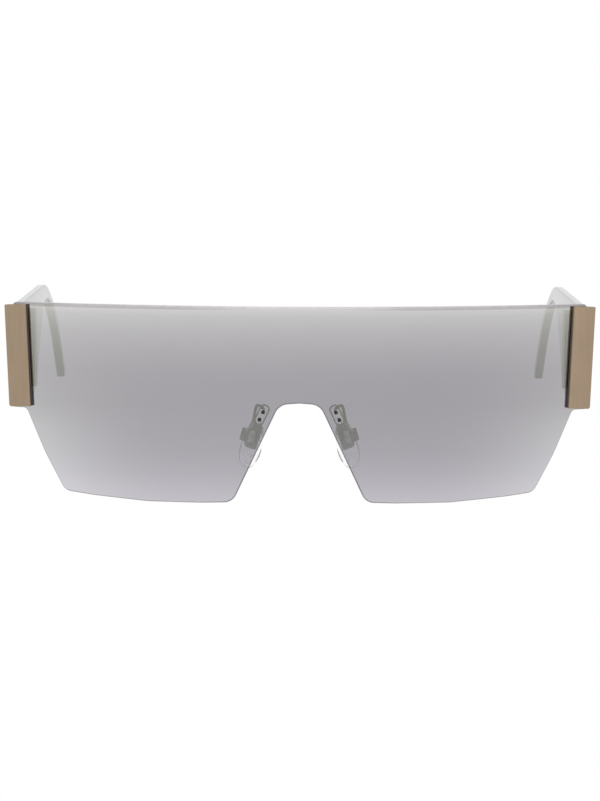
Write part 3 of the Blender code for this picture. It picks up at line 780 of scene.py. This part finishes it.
def add_lens(*finishes):
    """The shield lens."""
    outline = lens_outline()
    limit = lens_half_width - same_place
    corner = next(index for index, point in enumerate(outline) if point.x > limit)
    top_line = outline[:corner + 1]
    bottom_line = outline[corner + 1:][::-1]
    count = round(lens_half_width / lens_column_spacing)
    corners = {round(point.x, same_place_digits) for point in outline if point.x < limit}
    regular = [lens_half_width * index / count for index in range(count)]
    stations = sorted(corners | {station for station in regular
                                 if min(abs(station - spot) for spot in corners) > lens_column_gap})
    half = [(station, value_at(top_line, station), value_at(bottom_line, station))
            for station in stations]
    half.append((lens_half_width, top_line[-1].y, bottom_line[-1].y))
    slopes = [(after[2] - before[2]) / (after[0] - before[0])
              for before, after in zip(half, half[1:])]
    half = [(*place, slope) for place, slope in zip(half, slopes + slopes[-1:])]
    columns = [(-place[0], *place[1:]) for place in reversed(half[1:])] + half
    tools = []
    for side in (-1, 1):
        flip = Matrix.Scale(side, 4, Vector((1, 0, 0)))
        for radius, places in ((plaque_screw_radius, plaque_screw_frames()),
                               (pin_radius, pin_frames())):
            tools += bores(radius, -overrun, lens_thickness + overrun,
                           [flip @ place for place in places])
    body = loft([lens_column(*column) for column in columns], lens_strip_finishes)
    lens = add_piece("shield_lens", body, 1, tools)
    dress(lens, "lens_shield", "front", "mirror_lens", *finishes)


def plaque_screw_frames():
    """Frames of the upper and the lower plaque screw at the lens front."""
    return [lens_frame(plaque_screw_x, drop) for drop in plaque_screw_drops]


def plaque_frame():
    """Frame of the plaque's middle at the lens front."""
    place = lens_frame(lens_half_width - plaque_inset, plaque_top_drop + plaque_height / 2)
    return place @ Matrix.Rotation(-plaque_lean, 4, "Z")


def add_plaque(name, side, bronze, tray_finish, steel):
    """Tray, plaque and the two screws that hold them."""
    place = plaque_frame()
    tray_back = -seat_gap
    tray_front = tray_back - tray_thickness
    plaque_back = tray_front - seat_gap
    plaque_front = plaque_back - plaque_thickness
    half_width = plaque_width / 2
    half_height = plaque_height / 2
    tip = plaque_back - plaque_screw_bite
    holes = (plaque_screw_radius, tip - bore_gap, overrun, plaque_screw_frames())
    outline = rounded_rectangle(-half_width - tray_show, half_width, -half_height, half_height,
                                tray_corner_radius)
    tray = add_piece(f"{name}_tray", prism(outline, tray_front, tray_back, place), side,
                     bores(*holes), tray_edge_radius)
    dress(tray, f"{name}_plaque_tray", "front", "dark_tray", tray_finish)
    outline = rounded_rectangle(*centred(half_width, half_height), plaque_corner_radius,
                                plaque_low_corner_radius)
    plaque = add_piece(f"{name}_bar", prism(outline, plaque_front, plaque_back, place), side,
                       bores(*holes), plaque_edge_radius)
    dress(plaque, f"{name}_plaque", "front", "satin_bronze", bronze)
    seat = lens_thickness + seat_gap + end_plate_thickness + seat_gap
    for label, screw_place in zip(("upper", "lower"), plaque_screw_frames()):
        add_fastener(f"{name}_screw_{label}", f"{name}_plaque_screw_{label}", "front", side,
                     screw_place, plaque_screw_radius, plaque_screw_head, (tip, seat), steel)


def hinge_y():
    """Depth of the hinge axis behind the lens's front."""
    return lens_front(hinge_x) + lens_thickness + hinge_standoff


def hinge_frame():
    """Frame on the hinge axis at the top of the knuckles: outboard, back, and up along it."""
    place = Matrix.Translation((hinge_x, hinge_y(), -hinge_top_drop))
    return place @ Matrix.Rotation(hinge_lean, 4, "Y")


def knuckle_tools(first, start, turn, tongue):
    """Every second knuckle, with an arc and a tongue, and the bore through them all."""
    steps = ceil(round_sides * turn / tau)
    angles = [start + turn * step / steps for step in range(steps + 1)]
    arc = [(knuckle_radius * cos(angle), knuckle_radius * sin(angle)) for angle in angles]
    place = hinge_frame()
    tops = [-index * (knuckle_height + knuckle_gap) for index in range(first, knuckle_count, 2)]
    tools = [("UNION", prism(arc + tongue, top - knuckle_height, top, place)) for top in tops]
    return tools + [bore(hinge_screw_radius, -hinge_height - overrun, overrun, place)]


def add_end_piece(name, side, metal, steel):
    """Plate behind the lens end with its wing and knuckles, and the hinge screw."""
    plate_place = lens_frame(plaque_screw_x, 0)
    plate_front = lens_thickness + seat_gap
    plate_back = plate_front + end_plate_thickness
    outline = rectangle(-end_plate_inboard, end_plate_outboard, -end_bottom_drop, -end_top_drop)
    plate = prism(outline, plate_front, plate_back, plate_place)
    block_front = -(hinge_y() - plate_place.translation.y - plate_back) - end_block_sink
    wing_left = knuckle_radius + swing_gap
    wing_right = wing_left + seat_gap + temple_thickness
    wing_front = (plate_place @ Vector((end_plate_outboard, 0, plate_back))).y - hinge_y()
    wing_low = hinge_top_drop - end_bottom_drop + end_wing_inset
    wing_high = hinge_top_drop - end_top_drop - end_wing_inset
    wing = prism(rectangle(wing_left, wing_right, wing_front - end_block_sink, 0), wing_low,
                 wing_high, hinge_frame())
    tongue = [(-knuckle_radius, block_front), (knuckle_radius, block_front)]
    tools = [("UNION", wing)] + knuckle_tools(0, 0, pi, tongue)
    tools += bores(plaque_screw_radius, lens_thickness, plate_back + overrun, plaque_screw_frames())
    end_piece = add_piece(f"{name}_lug", plate, side, tools, metal_edge_radius)
    dress(end_piece, f"{name}_end_piece", "front", "grey_metal", metal)
    add_fastener(f"{name}_hinge_pin", f"{name}_hinge_screw", "front", side, hinge_frame(),
                 hinge_screw_radius, hinge_screw_head, (-hinge_height, seat_gap), steel)


def temple_frame():
    """Frame at the front of the temple's top edge: along it, up, and outboard."""
    inner_face = knuckle_radius + swing_gap + seat_gap
    corner = Matrix.Translation((inner_face, 0, hinge_top_drop - temple_top_drop))
    turn = frame_from((0, 0, 0), (0, 1, 0), (0, 0, 1), (1, 0, 0))
    return hinge_frame() @ corner @ turn


def temple_place(reach):
    """Place of the temple's top edge at a length along it, and how far it heads down."""
    along, up, heading = 0, 0, 0
    for length, turn in temple_runs:
        run = min(reach, length)
        bend = turn * run / length
        run_chord = run * sin(bend / 2) / (bend / 2) if bend else run
        along += run_chord * cos(heading + bend / 2)
        up -= run_chord * sin(heading + bend / 2)
        heading += bend
        reach -= run
    return along, up, heading


def temple_ring(reach, beyond=0, drawn_in=0):
    """Section of the temple at a length along its top edge, drawn in beyond its end."""
    along, up, heading = temple_place(reach)
    height = temple_height * eased_at(temple_height_shares, reach / temple_length)
    forward = Vector((cos(heading), -sin(heading), 0))
    down = Vector((-sin(heading), -cos(heading), 0))
    start = Vector((along, up, 0)) + forward * beyond
    place = temple_frame()
    section = rounded_rectangle(0, temple_thickness, drawn_in, height - drawn_in,
                                temple_edge_radius)
    return [place @ (start + down * depth + Vector((0, 0, across))) for across, depth in section]


def add_temple(name, side, plastic, metal, steel):
    """Blade with its core, hinge leaf and rivets."""
    body_name = f"{name}_temple_arm"
    plain = temple_length * temple_height_shares[1][0]
    reaches = [swing_gap, plain / 2, plain]
    reaches += [plain + (temple_length - plain) * (index + 1) / temple_steps
                for index in range(temple_steps)]
    rings = [temple_ring(reach) for reach in reaches]
    for share in temple_tip_shares:
        turn = share * pi / 2
        rings.append(temple_ring(temple_length, temple_tip_radius * sin(turn),
                                 temple_tip_radius * (1 - cos(turn))))
    place = temple_frame()
    core_inner = (temple_thickness - core_thickness) / 2
    core_start = swing_gap + seat_gap
    core_low = -core_top_drop - core_height
    slot = rectangle(-overrun, core_length + seat_gap, core_low - seat_gap,
                     seat_gap - core_top_drop)
    leaf_back = -seat_gap
    leaf_front = leaf_back - leaf_thickness
    leaf_high = temple_top_drop - hinge_top_drop
    leaf_low = leaf_high - hinge_height
    middle = (leaf_low + leaf_high) / 2
    rivet_places = [place @ Matrix.Translation((along, middle, 0)) for along in
                    (leaf_start + rivet_inset, leaf_start + leaf_length - rivet_inset)]
    holes = (rivet_radius, leaf_front - overrun, temple_thickness + overrun, rivet_places)
    pocket = prism(slot, core_inner - seat_gap, core_inner + core_thickness + seat_gap, place)
    temple = add_piece(f"{name}_blade", loft(rings), side, [("DIFFERENCE", pocket)] + bores(*holes))
    dress(temple, f"{name}_temple", body_name, "smoke_plastic", plastic)

    outline = [(core_start, core_low), (core_length - core_end_slant, core_low),
               (core_length, -core_top_drop), (core_start, -core_top_drop)]
    core = add_piece(f"{name}_core", prism(outline, core_inner, core_inner + core_thickness, place),
                     side, (), metal_edge_radius)
    dress(core, f"{name}_temple_core", body_name, "grey_metal", metal)

    outline = rectangle(leaf_start, leaf_start + leaf_length, leaf_low, leaf_high)
    tongue = [(knuckle_radius, leaf_tongue_length), (0, leaf_tongue_length)]
    tools = knuckle_tools(1, pi / 2, pi * 3 / 2, tongue)
    leaf = add_piece(f"{name}_leaf", prism(outline, leaf_front, leaf_back, place), side,
                     tools + bores(*holes), metal_edge_radius)
    dress(leaf, f"{name}_hinge_leaf", body_name, "grey_metal", metal)
    ends = (bore_gap - temple_thickness, seat_gap - leaf_front)
    for label, rivet_place in zip(("front", "rear"), rivet_places):
        add_fastener(f"{name}_rivet_{label}", f"{name}_leaf_rivet_{label}", body_name, side,
                     rivet_place @ turned_over, rivet_radius, rivet_head, ends, steel, False)


def bracket_frame():
    """Frame on the lens front at the bracket's middle, leaning with the notch's side."""
    side_slope = ((notch_foot_half_width - notch_half_width)
                  / (lens_height - notch_foot_rise - notch_drop))
    lean = atan(side_slope)
    station = notch_half_width + bracket_below_notch * side_slope + bracket_inset / cos(lean)
    place = lens_frame(station, notch_drop + bracket_below_notch)
    return place @ Matrix.Rotation(lean, 4, "Z")


def pin_frames():
    """Frames of the lower and the upper bracket pin at the lens front."""
    return [bracket_frame() @ Matrix.Translation((0, end * pin_spacing / 2, 0)) for end in (-1, 1)]


def pad_frame():
    """Frame on the pad's rocking axis: the screw's line, up the pad, and towards the nose."""
    up = Vector((-sin(pad_lean), 0, cos(pad_lean)))
    facing = Vector((-cos(pad_splay), sin(pad_splay), 0))
    facing = (facing - up * facing.dot(up)).normalized()
    offset = Vector((pad_axis_outboard, lens_thickness + pad_axis_standoff, -pad_axis_below))
    return frame_from(bracket_frame().translation + offset, up.cross(facing), up, facing)


def tube(points, radius, sides):
    """Round bar along a line of points."""
    rings = []
    for index, point in enumerate(points):
        before = points[max(index - 1, 0)]
        after = points[min(index + 1, len(points) - 1)]
        facing = (after - before).normalized()
        first = facing.cross(Vector((0, 0, 1))).normalized()
        place = frame_from(point, first, facing.cross(first), facing)
        rings.append([place @ Vector((*spot, 0)) for spot in circle(radius, sides)])
    return loft(rings)


def smooth_line(knots, steps):
    """Smooth curve through knots."""
    line = []
    for index, (near, far) in enumerate(zip(knots, knots[1:])):
        leaving = (far - knots[max(index - 1, 0)]) / 2
        arriving = (knots[min(index + 2, len(knots) - 1)] - near) / 2
        for step in range(steps):
            line.append(curve_point(near, far, leaving, arriving, step / steps))
    return line + [knots[-1]]


def add_pad_bracket(name, side, metal, resin, black, steel):
    """Bracket plate with its arm and box, its two pins and the pad screw."""
    place = bracket_frame()
    plate_front = lens_thickness + seat_gap
    plate_back = plate_front + bracket_thickness
    half_width = bracket_width / 2
    half_height = bracket_height / 2
    corner_radius = half_width - seat_gap
    outline = rounded_rectangle(*centred(half_width, half_height), corner_radius)
    inner = rounded_rectangle(*centred(half_width - bracket_rim, half_height - bracket_rim),
                              corner_radius - bracket_rim)
    pad = pad_frame()
    across = pad @ turned_across
    half_slot = post_width / 2 + seat_gap
    half_box = half_slot + box_cheek
    box_back = hypot(post_depth, post_height / 2) + seat_gap + box_floor
    bend_height = half_height - half_width
    bends = ((0, bend_height, -arm_radius), (half_width + 2 * arm_radius, bend_height, arm_radius),
             (half_width, -half_height, 2 * arm_radius))
    knots = [place @ Vector((aside, up, plate_back + back)) for aside, up, back in bends]
    knots.append(pad @ Vector((0, box_height / 2 - box_floor, arm_radius - box_back)))
    tools = [
        ("UNION", tube(smooth_line(knots, arm_steps), arm_radius, small_sides)),
        ("UNION", prism(rectangle(*centred(half_box, box_height / 2)), -box_back, box_front, pad)),
        ("DIFFERENCE", prism(rectangle(*centred(half_slot, box_height)), box_floor - box_back,
                             box_front + overrun, pad)),
        bore(pad_screw_radius, -half_box - overrun, half_box + overrun, across),
    ]
    tools += bores(pin_radius, lens_thickness, plate_back + overrun, pin_frames())
    levels = ((inner, plate_back - bracket_recess), (inner, plate_back), (outline, plate_back),
              (outline, plate_front), (inner, plate_front), (inner, plate_front + bracket_recess))
    bracket = add_piece(f"{name}_bracket", stack(levels, place), side, tools, bracket_recess)
    windows = (plate_front + bracket_recess, plate_back - bracket_recess)
    drawn = Matrix.Scale(side, 4, Vector((1, 0, 0))) @ Matrix.Translation(-drawing_origin)
    for face in bracket.data.polygons:
        level = (place.inverted() @ drawn @ face.center).z
        if min(abs(level - window) for window in windows) < same_place:
            face.material_index = 1
    dress(bracket, f"{name}_pad_bracket", "front", "grey_metal", metal, resin)
    for label, pin_place in zip(("upper", "lower"), reversed(pin_frames())):
        add_fastener(f"{name}_pin_{label}", f"{name}_bracket_pin_{label}", "front", side,
                     pin_place @ turned_over, pin_radius, pin_head, (-plate_back, seat_gap), black,
                     False, small_sides, "black_pin")
    add_fastener(f"{name}_box_screw", f"{name}_pad_screw", "front", side, across @ turned_over,
                 pad_screw_radius, pad_screw_head, (-half_box, half_box + bore_gap), steel,
                 sides=small_sides)


def pad_outline(share):
    """Outline of the silicone pad, drawn in by a share."""
    return [(pad_width / 2 * share * across * (1 - pad_taper_share * along),
             pad_height / 2 * share * along - pad_low_shift)
            for across, along in circle(1, pad_sides)]


def pad_shares():
    """Levels through the pad and its outline's share at each, round at the nose side."""
    pairs = list(pad_back_shares)
    crown_start = pad_back_shares[-1][0]
    steps = pad_crown_steps + pad_crown_left_steps
    top = sin(pi / 2 * pad_crown_steps / steps)
    for index in range(1, pad_crown_steps + 1):
        angle = pi / 2 * index / steps
        level = crown_start + (1 - crown_start) * sin(angle) / top
        pairs.append((level, cos(angle) ** pad_crown_power))
    return pairs


def add_pad(name, side, silicone, metal):
    """Silicone pad and its metal core, which rock on the pad screw."""
    place = pad_frame()
    body_name = f"{name}_pad"
    pad_back = box_front + pad_rock_gap
    core_back = pad_back + seat_gap
    core_front = core_back + pad_core_thickness
    half_width = pad_core_width / 2
    half_height = pad_core_height / 2
    sections = [(pad_outline(share), pad_back + pad_thickness * level)
                for level, share in pad_shares()]
    pocket = rounded_rectangle(*centred(half_width + seat_gap, half_height + seat_gap),
                               half_width / 2)
    tools = [("DIFFERENCE", prism(pocket, pad_back - overrun, core_front + seat_gap, place))]
    pad = add_piece(f"{name}_silicone", stack(sections, place), side, tools)
    dress(pad, f"{name}_nose_pad", body_name, "clear_silicone", silicone)
    outline = rounded_rectangle(*centred(half_width, half_height), half_width / 2)
    post = prism(rectangle(*centred(post_width / 2, post_height / 2)), -post_depth,
                 (core_back + core_front) / 2, place)
    tools = [("UNION", post),
             bore(pad_screw_radius, -post_width, post_width, place @ turned_across)]
    core = add_piece(f"{name}_insert", prism(outline, core_back, core_front, place), side, tools,
                     metal_edge_radius / 2)
    dress(core, f"{name}_pad_core", body_name, "grey_metal", metal)


def white_to_camera(tree, diffuse_strength):
    """Strength of one for camera, glossy and transmission rays, and less for others."""
    path = tree.nodes.new("ShaderNodeLightPath")
    seen = path.outputs["Is Camera Ray"]
    for label in ("Is Glossy Ray", "Is Transmission Ray"):
        seen = arithmetic(tree, "MAXIMUM", seen, path.outputs[label])
    return to_range(tree, seen, 0.0, 1.0, diffuse_strength)


def add_stage():
    """White world, pale floor, and two soft lamps."""
    world = bpy.data.worlds.new("studio")
    world.use_nodes = True
    bpy.context.scene.world = world
    tree = world.node_tree
    background = tree.nodes["Background"]
    feed(tree, background.inputs["Color"], white)
    feed(tree, background.inputs["Strength"], white_to_camera(tree, world_diffuse))

    body = bmesh.new()
    bmesh.ops.create_grid(body, x_segments=1, y_segments=1, size=floor_half_size)
    floor = add_object("floor", mesh_from("floor", body))
    material, tree, inputs = new_material("pale_floor", (0.9, 0.9, 0.9), 0.9, 0.0,
                                          Specular_IOR_Level=0.0, Emission_Color=white)
    path = white_to_camera(tree, 0.0)
    feed(tree, inputs["Emission Strength"], path)
    feed(tree, inputs["Base Color"], grey_ramp(tree, path, ((0.0, 0.9), (1.0, 0.0))))
    floor.data.materials.append(material)

    for name, place, watts, size in lamps:
        light = bpy.data.lights.new(name, "AREA")
        light.energy = watts
        light.size = size
        lamp = add_object(name, light)
        lamp.location = place
        lamp.rotation_euler = (-Vector(place)).to_track_quat("-Z", "Y").to_euler()


def add_camera():
    """Camera at the photograph's angle, framing the lens as the photograph does."""
    data = bpy.data.cameras.new("camera")
    data.sensor_width = sensor_width_mm
    data.lens = sensor_width_mm * camera_distance / frame_height_at_lens
    data.clip_start = camera_distance / 100
    camera = add_object("camera", data)
    target = drawing_origin + Vector((target_aside, 0, -target_below_lens_top))
    back = Vector((0, -cos(camera_elevation), sin(camera_elevation)))
    camera.location = target + back * camera_distance
    turn = (-back).to_track_quat("-Z", "Y").to_matrix().to_4x4()
    camera.rotation_euler = (turn @ Matrix.Rotation(camera_roll, 4, "Z")).to_euler()
    bpy.context.scene.camera = camera


def main():
    """Build the looks of the sunglasses."""
    bpy.context.scene.view_settings.view_transform = "Standard"
    add_camera()
    add_stage()
    bronze = satin_metal("bronze_finish", (0.376, 0.283, 0.198), 0.36, bronze_grain, 0.06)
    metal = satin_metal("grey_finish", (0.42, 0.41, 0.4), 0.3, metal_grain, 0.05)
    steel = satin_metal("steel_finish", (0.33, 0.32, 0.31), 0.28, steel_grain, 0.05)
    tray_finish = dark_paint("tray_finish", (0.058, 0.045, 0.035), 0.42)
    black = dark_paint("black_finish", (0.006, 0.006, 0.006), 0.35)
    plastic = smoke_plastic()
    silicone = clear_moulding("clear_silicone", (0.99, 0.99, 0.985), 1.18, 0.14)
    resin = clear_moulding("clear_resin", (0.95, 0.95, 0.93), 1.05, 0.06)
    # The low rim and the top edge are one polished edge, toned apart as painted shade and painted
    # highlight
    rim = lens_edge("lens_rim", (1.0, 0.975, 0.965), 0.9, rim_painted_light)
    top_edge = lens_edge("lens_top_edge", (1.0, 0.95, 0.96), 0.95, top_edge_painted_light)
    add_lens(mirror_coat(), lens_back(), rim, top_edge)
    for name, side in (("left", -1), ("right", 1)):
        add_plaque(name, side, bronze, tray_finish, steel)
        add_end_piece(name, side, metal, steel)
        add_temple(name, side, plastic, metal, steel)
        add_pad_bracket(name, side, metal, resin, black, steel)
        add_pad(name, side, silicone, metal)


main()
